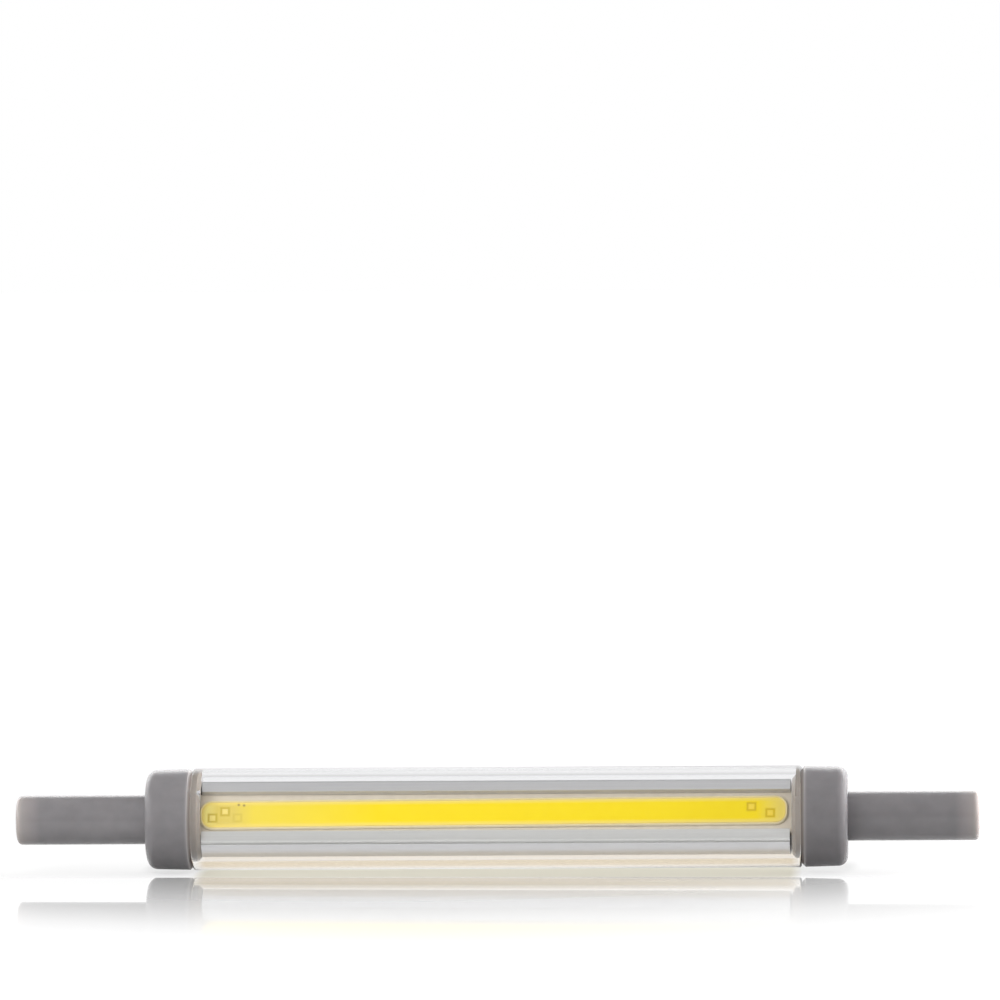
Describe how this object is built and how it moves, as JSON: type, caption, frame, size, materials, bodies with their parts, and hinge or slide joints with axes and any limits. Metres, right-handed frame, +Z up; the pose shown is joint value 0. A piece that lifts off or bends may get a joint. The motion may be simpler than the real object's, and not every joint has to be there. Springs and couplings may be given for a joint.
{
  "type": "linear led bulb",
  "caption": "Double-ended linear LED bulb: a clear tube between grey end caps with contact posts, and a yellow light strip on an aluminium extrusion inside.",
  "frame": {"origin": "centre of the lamp on its axis", "axes": "+X along the lamp axis to the right end, -Y to the front, +Z up; the light face looks to the front and leans back"},
  "size_m": [0.1176, 0.0124, 0.0124],
  "materials": {
    "clear_tube": "clear gloss",
    "grey_cap": "satin moulded",
    "contact_metal": "plated",
    "extrusion": "extruded satin",
    "strip_board": "matte pale mask",
    "silicone_bead": "satin",
    "phosphor": "satin silicone",
    "led_die": "satin",
    "circuit_board": "semi-gloss mask",
    "resistor_body": "matte",
    "surge_body": "satin",
    "black_package": "moulded",
    "capacitor_body": "satin",
    "chip_body": "satin",
    "lead_wire": "insulated",
    "red_wire": "insulated",
    "black_wire": "insulated"
  },
  "bodies": {
    "root": {"clear_tube": "clear_tube", "left_end_cap": "grey_cap", "right_end_cap": "grey_cap", "left_contact": "contact_metal", "right_contact": "contact_metal", "heat_sink": "extrusion", "cob_board": "strip_board", "silicone_dam": "silicone_bead", "phosphor_fill": "phosphor", "led_dies": "led_die", "driver_board": "circuit_board", "fusible_resistor": "resistor_body", "surge_absorber": "surge_body", "bridge_rectifier": "black_package", "smoothing_capacitors": "capacitor_body", "driver_ic": "black_package", "chip_resistors": "chip_body", "left_lead": "lead_wire", "right_lead": "lead_wire", "positive_link_wire": "red_wire", "negative_link_wire": "black_wire"}
  },
  "joints": []
}
